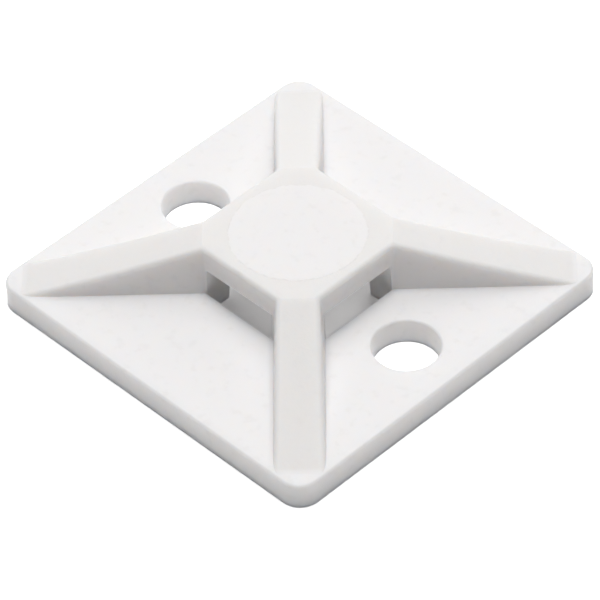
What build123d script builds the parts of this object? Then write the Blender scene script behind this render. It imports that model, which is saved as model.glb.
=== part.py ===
from build123d import *
import math
import os

# Cable tie mount, one moulding in natural nylon.
# A square plate carries a raised square bridge on four ribs that run out to its corners.
# A tie passes under the bridge from any side, through passages that open into the underside.
# Frame: +Z up, origin at the middle of the underside, screw holes along X.
# Sizes are in millimetres and degrees.

# Base plate
plate_side = 28.0
plate_thickness = 1.9
plate_corner_radius = 1.5
plate_edge_radius = 0.2

# Screw holes, each halfway between a passage and an end of the plate
screw_hole_diameter = 4.5
screw_hole_edge_radius = 0.15

# Bridge
bridge_thickness = 1.8
bridge_draft = 1.5

# Smooth round land on top of the bridge, with the margin left between it and the bridge's sides
land_margin = 0.81
land_rise = 0.015

# Passages for the tie, their width and the margin between them and the ribs taken at the roof
tie_gap = 1.9
passage_width = 6.0
passage_margin = 0.245
passage_draft = 3.0
passage_overrun = 0.01

# Rounding of the upright corners inside the passages and of the lips over their mouths
passage_corner_radius = 0.25
passage_lip_radius = 0.2

# Ribs, their width taken at the plate. Their backs are slightly hollow
rib_width = 3.3
rib_draft = 3.8
rib_hollow = 0.13
rib_toe_margin = 1.1

# Rounding of the bridge and the ribs, on their upper edges and where they meet
rounding_radius = 0.35

# Depth by which the raised shapes are sunk into the plate before they are joined to it
root_depth = plate_thickness / 2

# Heights
roof_height = plate_thickness + tie_gap
bridge_height = roof_height + bridge_thickness
root_height = plate_thickness - root_depth

# Half widths of a rib at its top and at the roof of the passages
rib_top_half = rib_width / 2 - (bridge_height - plate_thickness) * math.tan(math.radians(rib_draft))
rib_roof_half = rib_width / 2 - tie_gap * math.tan(math.radians(rib_draft))

# Places in plan. The bridge is as wide as a passage between two ribs needs
diagonal = math.sqrt(2)
plate_half = plate_side / 2
bridge_foot_half = passage_width / 2 + passage_margin + rib_roof_half * diagonal
bridge_half = bridge_foot_half - bridge_thickness * math.tan(math.radians(bridge_draft))
passage_half_length = bridge_foot_half + passage_overrun
screw_hole_place = (plate_half + passage_half_length) / 2

# Places along a diagonal, from the middle
plate_corner_reach = plate_half * diagonal - plate_corner_radius * (diagonal - 1)
rib_end = plate_corner_reach - rib_toe_margin
rib_start = bridge_half * diagonal - rib_top_half

def tapered_block(outline, top, bottom, draft):
    """Extrudes an outline drawn at the top height downwards, widening by the draft angle."""
    facing_down = Plane(origin=(0, 0, top), x_dir=(1, 0, 0), z_dir=(0, 0, -1))
    return extrude(facing_down * outline, amount=top - bottom, taper=-draft)

def base_plate():
    """Rounded square plate with a softened top edge."""
    plate = extrude(RectangleRounded(plate_side, plate_side, plate_corner_radius), amount=plate_thickness)
    return fillet(plate.edges().group_by(Axis.Z)[-1], radius=plate_edge_radius)

def bridge_block():
    """Square block under the bridge's outline, its corners cut off where the ribs leave it."""
    square = Rectangle(2 * bridge_half, 2 * bridge_half)
    corner_cut = Rotation(0, 0, 45) * Rectangle(2 * rib_start, 2 * rib_start)
    return tapered_block(square & corner_cut, bridge_height, root_height, bridge_draft)

def rib_pair():
    """Two ribs in line with each other, one running each way from the bridge along X."""
    outline = Polyline(
        (rib_end, plate_thickness), (rib_end, root_height), (-rib_end, root_height), (-rib_end, plate_thickness)
    )
    outline += Line((-rib_start, bridge_height), (rib_start, bridge_height))
    outline += SagittaArc((rib_start, bridge_height), (rib_end, plate_thickness), -rib_hollow)
    outline += SagittaArc((-rib_start, bridge_height), (-rib_end, plate_thickness), rib_hollow)
    profile = extrude(Plane.XZ * make_face(outline), amount=rib_width, both=True)
    flanks = tapered_block(Rectangle(2 * plate_side, 2 * rib_top_half), bridge_height, root_height, rib_draft)
    return profile & flanks

def is_tall(edge):
    """True on an edge that climbs by more than the height of a passage's mouth."""
    return edge.bounding_box().size.Z > tie_gap

def is_rounded_edge(edge):
    """True on the bridge's sides, the ribs' sloping corners and the corners between bridge and ribs."""
    size = edge.bounding_box().size
    bridge_side = min(size.X, size.Y, size.Z) < root_depth / 2 and max(size.X, size.Y) > passage_width
    return is_tall(edge) or (bridge_side and edge.center().Z > roof_height)

def raised_part():
    """The bridge and its four ribs, rounded before they are joined to the plate."""
    raised = bridge_block() + Rotation(0, 0, 45) * rib_pair() + Rotation(0, 0, -45) * rib_pair()
    return fillet(raised.edges().filter_by(is_rounded_edge), radius=rounding_radius)

def tie_passages():
    """Two crossing cores, open below, that leave the bridge standing on its four corners."""
    core = tapered_block(Rectangle(2 * plate_side, passage_width), roof_height, 0, passage_draft)
    reach = Rectangle(2 * passage_half_length, 2 * passage_half_length)
    cross = (core + Rotation(0, 0, 90) * core) & tapered_block(reach, roof_height, 0, bridge_draft)
    inner_corners = cross.edges().filter_by(is_tall).sort_by_distance((0, 0, 0))[:4]
    return fillet(inner_corners, radius=passage_corner_radius)

def passage_lips(body):
    """The lower edges of the bridge's four sides, over the mouths of the passages."""
    roof_edges = body.edges().filter_by_position(Axis.Z, roof_height, roof_height)
    along_x = roof_edges.group_by(Axis.X)
    along_y = roof_edges.group_by(Axis.Y)
    return along_x[0] + along_x[-1] + along_y[0] + along_y[-1]

def screw_holes():
    """Two straight holes through the plate."""
    hole = Cylinder(screw_hole_diameter / 2, plate_thickness, align=(Align.CENTER, Align.CENTER, Align.MIN))
    return Pos(screw_hole_place, 0, 0) * hole + Pos(-screw_hole_place, 0, 0) * hole

def mount_body():
    """The whole moulding."""
    body = base_plate() + raised_part() - tie_passages() - screw_holes()
    rims = body.edges().filter_by(GeomType.CIRCLE).filter_by_position(Axis.Z, plate_thickness, plate_thickness)
    rims = [e for e in rims if abs(e.radius - screw_hole_diameter / 2) < screw_hole_edge_radius]
    body = fillet(rims, radius=screw_hole_edge_radius)
    body = fillet(passage_lips(body), radius=passage_lip_radius)
    land = Cylinder(bridge_half - land_margin, land_rise, align=(Align.CENTER, Align.CENTER, Align.MIN))
    return body + Pos(0, 0, bridge_height) * land

os.makedirs("parts", exist_ok=True)
export_step(mount_body(), "parts/mount_body.step")
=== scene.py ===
import math

import bpy
from bpy.props import FloatProperty, FloatVectorProperty, PointerProperty
from mathutils import Matrix, Vector


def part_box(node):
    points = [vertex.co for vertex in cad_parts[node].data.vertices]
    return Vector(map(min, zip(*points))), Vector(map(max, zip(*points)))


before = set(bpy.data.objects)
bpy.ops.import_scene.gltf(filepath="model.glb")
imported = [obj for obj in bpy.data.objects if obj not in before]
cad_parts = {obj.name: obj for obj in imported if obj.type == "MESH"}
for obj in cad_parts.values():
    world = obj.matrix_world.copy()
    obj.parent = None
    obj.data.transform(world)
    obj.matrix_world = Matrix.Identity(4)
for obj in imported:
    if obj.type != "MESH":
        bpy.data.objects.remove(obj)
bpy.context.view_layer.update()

bl_info = {
    "name": "Cable tie mount",
    "version": (1, 0, 0),
    "blender": (4, 5, 0),
    "location": "3D View > Sidebar > Tie mount",
    "description": "Finishes a moulded nylon cable tie mount and sets it on a studio floor",
    "category": "Object",
}

BODY = "mount_body"
MOUNT_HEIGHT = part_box(BODY)[1][2]

# Where one finish fades into the next, in metres past the place that the mask starts from.
# The first distance gives 0 and the second gives 1.
RIB_SIDE_FADE = (0.00045, 0.00025)
RIB_FOOT_FADE = (0.00002, 0.00012)
# The mouth and roof fades bound the painted light that brightens the walls inside the passages.
MOUTH_FADE = (0.0, -0.0002)
ROOF_FADE = (0.0002, 0.0)
LAND_FADE = (-0.00008, 0.00004)
LAND_LINE_FADE = (0.00009, 0.00002)
BRIDGE_TOP_FADE = (-0.0001, -0.00003)

# Levels of the noise between which a mark comes up, and the noise's middle level
LINE_LEVELS = (0.42, 0.6)
BLOTCH_LEVELS = (0.54, 0.74)
MIDDLE_LEVEL = 0.5

# Part of the gate mark's radius over which it is at its darkest
GATE_CORE_SHARE = 1 / 3

# How far red, green and blue light travel in the nylon, as shares of the scattering depth
SCATTER_SHARES = (1.0, 0.9, 0.8)

# Each softbox: its name, its turn from the camera to the right, its height and its power setting.
# The turn and the height are in degrees.
SOFTBOXES = (
    ("overhead_softbox", 0, 90, "overhead_power"),
    ("rear_softbox", 180, 60, "rear_power"),
    ("right_softbox", 60, 60, "right_power"),
    ("low_right_softbox", 150, 30, "low_right_power"),
    ("low_rear_softbox", -150, 30, "low_rear_power"),
    ("low_left_softbox", -90, 30, "low_left_power"),
)
WHITE = (1, 1, 1, 1)


class MountSizes(bpy.types.PropertyGroup):
    """Places on the moulding that its finish follows, and the sizes of its marks and its grain."""

    plate_top: FloatProperty(
        name="Plate top", description="Height of the plate's upper face",
        default=0.0019, unit="LENGTH",
    )
    roof_height: FloatProperty(
        name="Roof height", description="Height of the roof over the tie passages",
        default=0.0038, unit="LENGTH",
    )
    bridge_reach: FloatProperty(
        name="Bridge reach", description="From the middle to the bridge's sides",
        default=0.0054, unit="LENGTH",
    )
    rib_start: FloatProperty(
        name="Rib start", description="From the middle to where a rib's back begins to fall",
        default=0.00617, unit="LENGTH",
    )
    rib_end: FloatProperty(
        name="Rib end", description="From the middle to where a rib's back meets the plate",
        default=0.01808, unit="LENGTH",
    )
    land_radius: FloatProperty(
        name="Land radius", description="Radius of the smooth land on the bridge",
        default=0.00454, unit="LENGTH",
    )
    land_wander: FloatProperty(
        name="Land wander", description="How far the land's outline strays in and out",
        default=0.0002, unit="LENGTH",
    )
    wander_size: FloatProperty(
        name="Wander size", description="Size of the bends in the land's outline",
        default=0.0009, unit="LENGTH",
    )
    line_break_size: FloatProperty(
        name="Line break size", description="Size of the breaks in the line round the land",
        default=0.0004, unit="LENGTH",
    )
    gate_place: FloatVectorProperty(
        name="Gate place", description="Where the mark of the mould's gate lies on the land",
        size=2, default=(0.00093, 0.00092), subtype="XYZ", unit="LENGTH",
    )
    gate_radius: FloatProperty(
        name="Gate radius", description="Radius of the mark of the mould's gate",
        default=0.00014, unit="LENGTH",
    )
    grain_size: FloatProperty(
        name="Grain size", description="Size of the grains of the eroded texture",
        default=0.00011, unit="LENGTH",
    )
    grain_depth: FloatProperty(
        name="Grain depth", description="Depth of the eroded texture",
        default=0.00002, unit="LENGTH",
    )
    blotch_size: FloatProperty(
        name="Blotch size", description="Size of the faint blotches in the nylon",
        default=0.0007, unit="LENGTH",
    )


class MountColours(bpy.types.PropertyGroup):
    """Colours of the moulding and of the studio floor."""

    nylon: FloatVectorProperty(
        name="Nylon", description="Colour of the smooth faces",
        subtype="COLOR", default=(0.9, 0.885, 0.885), min=0, max=1,
    )
    textured_nylon: FloatVectorProperty(
        name="Textured nylon", description="Colour of the ribs' backs and of the bridge's rim",
        subtype="COLOR", default=(0.865, 0.849, 0.838), min=0, max=1,
    )
    shaded_nylon: FloatVectorProperty(
        name="Shaded nylon", description="Colour of the faint blotches and of the line round the land",
        subtype="COLOR", default=(0.835, 0.817, 0.81), min=0, max=1,
    )
    # Painted light: a paler colour on the walls inside the passages stands in for light that soaks through
    # the nylon and lifts their shade; the walls are not cleaner.
    painted_passage_light: FloatVectorProperty(
        name="Inner nylon", description="Colour of the clean walls inside the passages",
        subtype="COLOR", default=(0.985, 0.975, 0.97), min=0, max=1,
    )
    floor: FloatVectorProperty(
        name="Floor", description="Colour of the studio floor",
        subtype="COLOR", default=(0.88, 0.88, 0.88), min=0, max=1,
    )


class MountFinish(bpy.types.PropertyGroup):
    """How rough, marked and translucent the nylon is."""

    smooth_roughness: FloatProperty(
        name="Smooth roughness", description="Roughness of the plate and the land",
        subtype="FACTOR", default=0.48, min=0, max=1,
    )
    textured_roughness: FloatProperty(
        name="Textured roughness", description="Roughness of the ribs' backs and of the bridge's rim",
        subtype="FACTOR", default=0.6, min=0, max=1,
    )
    smooth_grain: FloatProperty(
        name="Smooth grain", description="Share of the grain's depth that the smooth faces have",
        subtype="FACTOR", default=0.3, min=0, max=1,
    )
    blotch_strength: FloatProperty(
        name="Blotch strength", description="How strongly the blotches take their colour",
        subtype="FACTOR", default=0.45, min=0, max=1,
    )
    gate_strength: FloatProperty(
        name="Gate strength", description="How strongly the gate's mark takes its colour",
        subtype="FACTOR", default=0.5, min=0, max=1,
    )
    scattering_depth: FloatProperty(
        name="Scattering depth", description="How deep light passes into the nylon",
        default=0.001, unit="LENGTH",
    )


class StudioSettings(bpy.types.PropertyGroup):
    """Where the camera stands, and how bright the softboxes and the surroundings are."""

    azimuth: FloatProperty(
        name="Azimuth", description="Turn of the camera around the mount",
        default=math.radians(46.487), subtype="ANGLE",
    )
    elevation: FloatProperty(
        name="Elevation", description="Height of the camera as an angle",
        default=math.radians(43.925), subtype="ANGLE",
    )
    roll: FloatProperty(
        name="Roll", description="Turn of the camera about its own line of sight",
        default=math.radians(-2.302), subtype="ANGLE",
    )
    distance: FloatProperty(
        name="Distance", description="Distance from the camera to the mount",
        default=0.28899, unit="LENGTH",
    )
    aim_down: FloatProperty(
        name="Aim down", description="How far below the origin the camera aims",
        default=0.000355, unit="LENGTH",
    )
    lens: FloatProperty(
        name="Lens", description="Focal length of the camera",
        default=264.79, subtype="DISTANCE_CAMERA",
    )
    floor_side: FloatProperty(
        name="Floor side", description="Side of the square studio floor",
        default=3, unit="LENGTH",
    )
    softbox_distance: FloatProperty(
        name="Softbox distance", description="From the mount to each softbox",
        default=0.6, unit="LENGTH",
    )
    softbox_width: FloatProperty(
        name="Softbox width", description="Width of each round softbox",
        default=0.3, unit="LENGTH",
    )
    overhead_power: FloatProperty(
        name="Overhead power", description="Power of the softbox straight above",
        default=2.08, unit="POWER",
    )
    rear_power: FloatProperty(
        name="Rear power", description="Power of the softbox behind the mount",
        default=0.63, unit="POWER",
    )
    right_power: FloatProperty(
        name="Right power", description="Power of the softbox in front on the right",
        default=0.29, unit="POWER",
    )
    low_right_power: FloatProperty(
        name="Low right power", description="Power of the low softbox behind on the right",
        default=0.56, unit="POWER",
    )
    low_rear_power: FloatProperty(
        name="Low rear power", description="Power of the low softbox behind on the left",
        default=0.31, unit="POWER",
    )
    low_left_power: FloatProperty(
        name="Low left power", description="Power of the low softbox on the left",
        default=0.2, unit="POWER",
    )
    surroundings: FloatProperty(
        name="Surroundings", description="Brightness of the pale room around the table",
        default=0.055, min=0,
    )


def new_material(name):
    """An empty node material, with its node tree and its output node."""
    material = bpy.data.materials.new(name)
    material.use_nodes = True
    tree = material.node_tree
    tree.nodes.clear()
    return material, tree, tree.nodes.new("ShaderNodeOutputMaterial")


def feed(tree, socket, value):
    """Links a node's output to a socket, or writes a plain number into it."""
    if isinstance(value, bpy.types.NodeSocket):
        tree.links.new(value, socket)
    else:
        socket.default_value = value


def calculate(tree, operation, first, second=0.0):
    """A math node on two values."""
    node = tree.nodes.new("ShaderNodeMath")
    node.operation = operation
    feed(tree, node.inputs[0], first)
    feed(tree, node.inputs[1], second)
    return node.outputs["Value"]


def diagonal(tree, first, second):
    """Distance across a rectangle with the two values as its sides."""
    squares = [calculate(tree, "MULTIPLY", side, side) for side in (first, second)]
    return calculate(tree, "SQRT", calculate(tree, "ADD", *squares))


def soft_step(tree, value, start, end):
    """Rises smoothly from 0 to 1 while the value goes from start to end, or falls where end is the lower."""
    node = tree.nodes.new("ShaderNodeMapRange")
    node.interpolation_type = "SMOOTHSTEP"
    rises = end > start
    feed(tree, node.inputs["Value"], value)
    node.inputs["From Min"].default_value = min(start, end)
    node.inputs["From Max"].default_value = max(start, end)
    node.inputs["To Min"].default_value = 0 if rises else 1
    node.inputs["To Max"].default_value = 1 if rises else 0
    return node.outputs["Result"]


def fade(tree, value, place, distances):
    """A soft step between two distances past a place."""
    start, end = distances
    return soft_step(tree, value, place + start, place + end)


def speckle(tree, place, size, detail=2.0):
    """Noise of the given grain size, from 0 to 1."""
    node = tree.nodes.new("ShaderNodeTexNoise")
    tree.links.new(place, node.inputs["Vector"])
    node.inputs["Scale"].default_value = 1 / size
    node.inputs["Detail"].default_value = detail
    return node.outputs["Fac"]


def between(tree, share, first, second):
    """The first number where the share is 0, the second where it is 1."""
    return calculate(tree, "ADD", first, calculate(tree, "MULTIPLY", share, second - first))


def blend_colour(tree, share, first, second):
    """Mixes two colours, each a plain colour or a node's output."""
    node = tree.nodes.new("ShaderNodeMix")
    node.data_type = "RGBA"
    share_socket, first_socket, second_socket = (s for s in node.inputs if s.enabled)
    feed(tree, share_socket, share)
    for socket, colour in ((first_socket, first), (second_socket, second)):
        feed(tree, socket, colour if isinstance(colour, bpy.types.NodeSocket) else (*colour, 1))
    return next(s for s in node.outputs if s.enabled)


def rib_back_mask(tree, across, along, height):
    """1 on the backs of the ribs and on the flat top of the bridge, 0 on their sides and on the plate."""
    sizes = bpy.context.scene.mount_sizes
    fall = (MOUNT_HEIGHT - sizes.plate_top) / (sizes.rib_end - sizes.rib_start)
    reach = calculate(tree, "ADD", calculate(tree, "ABSOLUTE", across), calculate(tree, "ABSOLUTE", along))
    from_middle = calculate(tree, "DIVIDE", reach, math.sqrt(2))
    past_start = calculate(tree, "MAXIMUM", calculate(tree, "SUBTRACT", from_middle, sizes.rib_start), 0.0)
    back = calculate(tree, "SUBTRACT", MOUNT_HEIGHT, calculate(tree, "MULTIPLY", past_start, fall))
    on_back = soft_step(tree, calculate(tree, "SUBTRACT", back, height), *RIB_SIDE_FADE)
    above_plate = fade(tree, height, sizes.plate_top, RIB_FOOT_FADE)
    return calculate(tree, "MULTIPLY", on_back, above_plate)


def passage_light_mask(tree, across, along, height):
    """1 on the walls inside the tie passages, where painted light is laid, 0 outside them."""
    sizes = bpy.context.scene.mount_sizes
    outermost = calculate(
        tree, "MAXIMUM", calculate(tree, "ABSOLUTE", across), calculate(tree, "ABSOLUTE", along)
    )
    inside = fade(tree, outermost, sizes.bridge_reach, MOUTH_FADE)
    below_roof = fade(tree, height, sizes.roof_height, ROOF_FADE)
    return calculate(tree, "MULTIPLY", inside, below_roof)


def land_reach(tree, place, across, along):
    """Distance from the land's middle, with a stray that makes the land's outline wander."""
    sizes = bpy.context.scene.mount_sizes
    noise = speckle(tree, place, sizes.wander_size, detail=4.0)
    stray = calculate(tree, "SUBTRACT", noise, MIDDLE_LEVEL)
    stray = calculate(tree, "MULTIPLY", stray, 2 * sizes.land_wander)
    return calculate(tree, "ADD", diagonal(tree, across, along), stray)


def land_line_mask(tree, place, reach):
    """1 on the thin broken line round the land, 0 beside it."""
    sizes = bpy.context.scene.mount_sizes
    off_line = calculate(tree, "ABSOLUTE", calculate(tree, "SUBTRACT", reach, sizes.land_radius))
    line = soft_step(tree, off_line, *LAND_LINE_FADE)
    unbroken = soft_step(tree, speckle(tree, place, sizes.line_break_size, detail=3.0), *LINE_LEVELS)
    return calculate(tree, "MULTIPLY", line, unbroken)


def gate_mask(tree, across, along):
    """1 in the middle of the round mark that the mould's gate left, 0 outside it."""
    sizes = bpy.context.scene.mount_sizes
    offsets = [
        calculate(tree, "SUBTRACT", axis, middle) for axis, middle in zip((across, along), sizes.gate_place)
    ]
    core = sizes.gate_radius * GATE_CORE_SHARE
    return soft_step(tree, diagonal(tree, *offsets), sizes.gate_radius, core)


def marks_mask(tree, place, across, along, height, reach):
    """The line round the land, the gate's mark and the faint blotches. The strongest shows."""
    sizes = bpy.context.scene.mount_sizes
    finish = bpy.context.scene.mount_finish
    on_top = fade(tree, height, MOUNT_HEIGHT, BRIDGE_TOP_FADE)
    line = calculate(tree, "MULTIPLY", land_line_mask(tree, place, reach), on_top)
    gate = calculate(tree, "MULTIPLY", gate_mask(tree, across, along), on_top)
    blotches = soft_step(tree, speckle(tree, place, sizes.blotch_size, detail=3.0), *BLOTCH_LEVELS)
    blotches = calculate(tree, "MULTIPLY", blotches, finish.blotch_strength)
    gate = calculate(tree, "MULTIPLY", gate, finish.gate_strength)
    return calculate(tree, "MAXIMUM", calculate(tree, "MAXIMUM", line, blotches), gate)


def nylon_material():
    """Natural nylon: smooth plate and land, eroded texture on the ribs' backs and the bridge's rim, and
    painted light on the walls inside the passages.
    """
    scene = bpy.context.scene
    sizes, colours, finish = scene.mount_sizes, scene.mount_colours, scene.mount_finish
    material, tree, output = new_material("moulded_nylon")
    place = tree.nodes.new("ShaderNodeTexCoord").outputs["Object"]
    split = tree.nodes.new("ShaderNodeSeparateXYZ")
    tree.links.new(place, split.inputs["Vector"])
    across, along, height = split.outputs

    reach = land_reach(tree, place, across, along)
    off_land = fade(tree, reach, sizes.land_radius, LAND_FADE)
    textured = calculate(tree, "MULTIPLY", rib_back_mask(tree, across, along, height), off_land)
    marks = marks_mask(tree, place, across, along, height, reach)

    colour = blend_colour(tree, textured, colours.nylon, colours.textured_nylon)
    colour = blend_colour(tree, marks, colour, colours.shaded_nylon)
    # Painted light: the walls inside the passages take a paler colour, which stands in for light that lifts
    # their shade.
    colour = blend_colour(tree, passage_light_mask(tree, across, along, height), colour, colours.painted_passage_light)

    roughness = between(tree, textured, finish.smooth_roughness, finish.textured_roughness)
    coverage = between(tree, textured, finish.smooth_grain, 1)
    grain = calculate(tree, "MULTIPLY", speckle(tree, place, sizes.grain_size), coverage)
    bump = tree.nodes.new("ShaderNodeBump")
    bump.inputs["Distance"].default_value = sizes.grain_depth
    tree.links.new(grain, bump.inputs["Height"])

    shader = tree.nodes.new("ShaderNodeBsdfPrincipled")
    tree.links.new(colour, shader.inputs["Base Color"])
    tree.links.new(roughness, shader.inputs["Roughness"])
    tree.links.new(bump.outputs["Normal"], shader.inputs["Normal"])
    shader.inputs["Subsurface Weight"].default_value = 1
    shader.inputs["Subsurface Radius"].default_value = SCATTER_SHARES
    shader.inputs["Subsurface Scale"].default_value = finish.scattering_depth
    tree.links.new(shader.outputs["BSDF"], output.inputs["Surface"])
    return material


def floor_material():
    """White floor that lights the mount plainly and shows twice as bright around it."""
    colours = bpy.context.scene.mount_colours
    material, tree, output = new_material("studio_floor")
    plain = tree.nodes.new("ShaderNodeBsdfDiffuse")
    plain.inputs["Color"].default_value = (*colours.floor, 1)
    bright = tree.nodes.new("ShaderNodeAddShader")
    tree.links.new(plain.outputs["BSDF"], bright.inputs[0])
    tree.links.new(plain.outputs["BSDF"], bright.inputs[1])
    path = tree.nodes.new("ShaderNodeLightPath")
    seen = calculate(tree, "MAXIMUM", path.outputs["Is Camera Ray"], path.outputs["Is Glossy Ray"])
    seen = calculate(tree, "MAXIMUM", seen, path.outputs["Is Transmission Ray"])
    mix = tree.nodes.new("ShaderNodeMixShader")
    tree.links.new(seen, mix.inputs["Fac"])
    tree.links.new(plain.outputs["BSDF"], mix.inputs[1])
    tree.links.new(bright.outputs["Shader"], mix.inputs[2])
    tree.links.new(mix.outputs["Shader"], output.inputs["Surface"])
    return material


def direction(turn, raised):
    """Unit vector away from the mount, turned round it from the front side and raised above the floor."""
    return Vector((
        math.sin(turn) * math.cos(raised), -math.cos(turn) * math.cos(raised), math.sin(raised)
    ))


def add_softbox(name, turn, raised, power):
    """A round softbox aimed at the mount, its turn counted in degrees from the camera to the right."""
    studio = bpy.context.scene.mount_studio
    out = direction(studio.azimuth + math.radians(turn), math.radians(raised))
    lamp = bpy.data.lights.new(name, "AREA")
    lamp.shape = "DISK"
    lamp.size = studio.softbox_width
    lamp.energy = power
    softbox = bpy.data.objects.new(name, lamp)
    bpy.context.scene.collection.objects.link(softbox)
    softbox.location = out * studio.softbox_distance
    softbox.rotation_euler = (-out).to_track_quat("-Z", "Y").to_euler()


def add_camera():
    """The camera at the photograph's angle."""
    studio = bpy.context.scene.mount_studio
    out = direction(studio.azimuth, studio.elevation)
    level = Vector((math.cos(studio.azimuth), math.sin(studio.azimuth), 0))
    upright = out.cross(level)
    right = math.cos(studio.roll) * level + math.sin(studio.roll) * upright
    up = out.cross(right)
    camera_data = bpy.data.cameras.new("camera")
    camera_data.lens = studio.lens
    camera = bpy.data.objects.new("camera", camera_data)
    bpy.context.scene.collection.objects.link(camera)
    place = Matrix.Translation(out * studio.distance - up * studio.aim_down)
    camera.matrix_world = place @ Matrix((right, up, out)).transposed().to_4x4()
    bpy.context.scene.camera = camera


class MOUNT_OT_body(bpy.types.Operator):
    """Gives the moulding its nylon finish"""

    bl_idname = "mount.body"
    bl_label = "Finish the moulding"

    def execute(self, context):
        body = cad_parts[BODY]
        body.data.materials.clear()
        body.data.materials.append(nylon_material())
        return {"FINISHED"}


class MOUNT_OT_studio(bpy.types.Operator):
    """Adds the floor, the softboxes, the pale room and the camera"""

    bl_idname = "mount.studio"
    bl_label = "Set up the studio"

    def execute(self, context):
        studio = context.scene.mount_studio
        bpy.ops.object.select_all(action="DESELECT")
        bpy.ops.mesh.primitive_plane_add(size=studio.floor_side, location=(0, 0, 0))
        floor = context.object
        floor.name = "studio_floor"
        floor.data.materials.append(floor_material())

        for name, turn, raised, power in SOFTBOXES:
            add_softbox(name, turn, raised, getattr(studio, power))

        world = bpy.data.worlds.new("pale_room")
        context.scene.world = world
        world.use_nodes = True
        room = world.node_tree.nodes["Background"]
        room.inputs["Color"].default_value = WHITE
        room.inputs["Strength"].default_value = studio.surroundings

        add_camera()
        context.scene.view_settings.view_transform = "Standard"
        return {"FINISHED"}


class MOUNT_PT_panel(bpy.types.Panel):
    """Lists the settings and the steps"""

    bl_idname = "MOUNT_PT_panel"
    bl_label = "Tie mount"
    bl_space_type = "VIEW_3D"
    bl_region_type = "UI"
    bl_category = "Tie mount"

    def draw(self, context):
        for group in GROUPS:
            for name in GROUPS[group].__annotations__:
                self.layout.prop(getattr(context.scene, group), name)
        for operator in OPERATORS:
            self.layout.operator(operator.bl_idname)


GROUPS = {
    "mount_sizes": MountSizes,
    "mount_colours": MountColours,
    "mount_finish": MountFinish,
    "mount_studio": StudioSettings,
}
OPERATORS = (MOUNT_OT_body, MOUNT_OT_studio)
CLASSES = (*GROUPS.values(), *OPERATORS, MOUNT_PT_panel)


def register():
    for cls in CLASSES:
        bpy.utils.register_class(cls)
    for name, group in GROUPS.items():
        setattr(bpy.types.Scene, name, PointerProperty(type=group))


def unregister():
    for name in reversed(GROUPS):
        delattr(bpy.types.Scene, name)
    for cls in reversed(CLASSES):
        bpy.utils.unregister_class(cls)


def main():
    register()
    bpy.ops.mount.body()
    bpy.ops.mount.studio()


if __name__ == "__main__":
    main()
